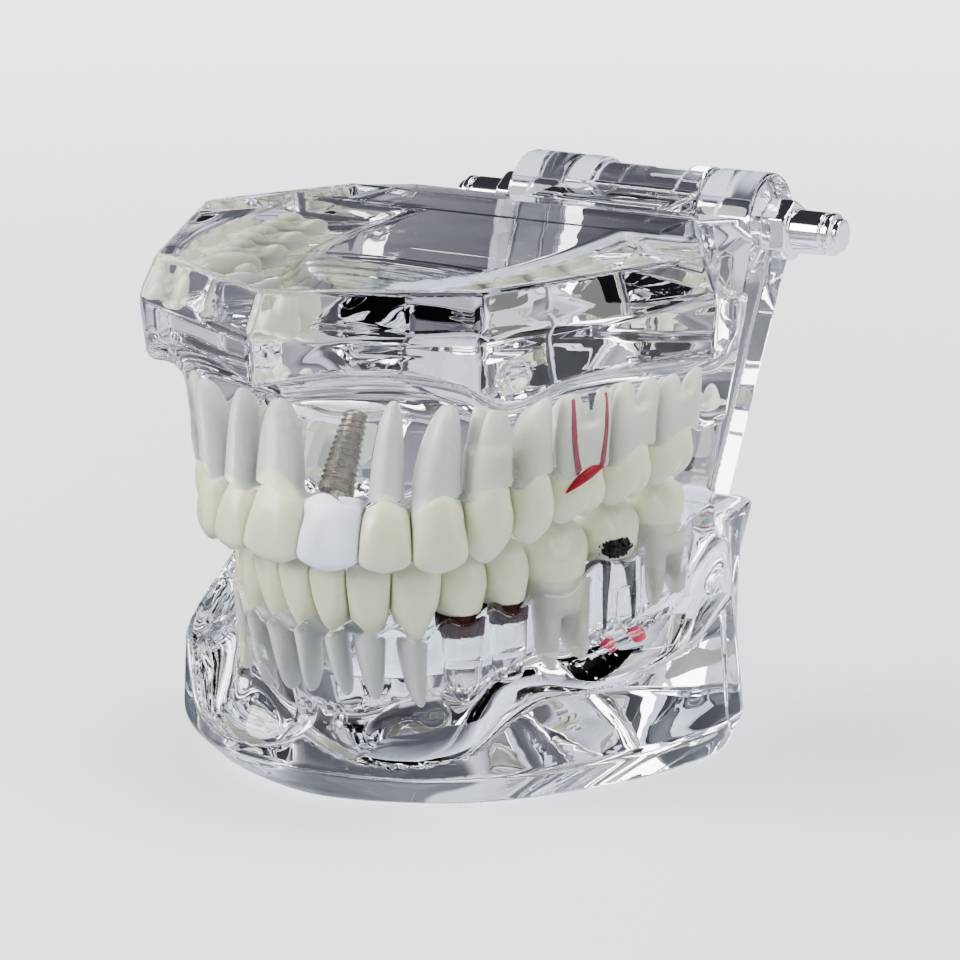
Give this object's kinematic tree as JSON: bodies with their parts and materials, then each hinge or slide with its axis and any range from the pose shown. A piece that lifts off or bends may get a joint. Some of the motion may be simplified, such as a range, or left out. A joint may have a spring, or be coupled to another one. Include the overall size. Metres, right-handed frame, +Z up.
{
  "type": "dental demonstration model",
  "caption": "Clear hinged upper and lower jaw model with separate teeth, an implant, a root canal cutaway and tartar bands, for showing treatments.",
  "frame": {"origin": "on the flat underside, on the left-right midline, under the back teeth", "axes": "+Z up, -Y towards the front teeth, +X towards the patient's left"},
  "size_m": [0.0844, 0.1213, 0.073],
  "materials": {
    "acrylic": "polished clear acrylic",
    "tooth": "satin ivory resin",
    "ceramic": "translucent bluish ceramic",
    "titanium": "machined titanium",
    "red_resin": "red resin",
    "tartar": "dark brown paint",
    "filling": "dark amalgam",
    "chrome": "polished chrome"
  },
  "bodies": {
    "lower_jaw": {"tooth_31": "tooth", "tooth_32": "tooth", "tooth_33": "tooth", "tooth_34": "tooth", "tooth_35": "tooth", "tooth_36": "tooth", "tooth_37": "tooth", "tooth_38": "tooth", "tooth_41": "tooth", "tooth_42": "tooth", "tooth_43": "tooth", "tooth_44": "tooth", "tooth_45": "tooth", "tooth_46": "tooth", "tooth_47": "tooth", "tooth_48": "tooth", "tartar_34": "tartar", "tartar_35": "tartar", "root_34": "acrylic", "root_35": "acrylic", "canal_post_mesial_37": "titanium", "canal_post_distal_37": "titanium", "apex_spot_mesial_37": "red_resin", "apex_spot_distal_37": "red_resin", "filling_37": "filling", "lower_base": "acrylic", "hinge_pin": "chrome", "cap_nut_left": "chrome", "cap_nut_right": "chrome"},
    "upper_jaw": {"upper_base": "acrylic", "tooth_11": "tooth", "tooth_12": "tooth", "tooth_13": "tooth", "tooth_14": "tooth", "tooth_15": "tooth", "tooth_16": "tooth", "tooth_17": "tooth", "tooth_18": "tooth", "tooth_22": "tooth", "tooth_23": "tooth", "tooth_24": "tooth", "tooth_25": "tooth", "tooth_26": "tooth", "tooth_27": "tooth", "tooth_28": "tooth", "implant_crown_21": "ceramic", "implant_fixture_21": "titanium", "implant_abutment_21": "titanium", "pulp_26": "red_resin", "screw_post_26": "titanium"}
  },
  "joints": [
    {"name": "jaw_hinge", "type": "hinge", "parent": "lower_jaw", "child": "upper_jaw", "pos_m": [0, 0.0519, 0.064], "axis": [-1, 0, 0], "range_deg": [0, 90]}
  ]
}
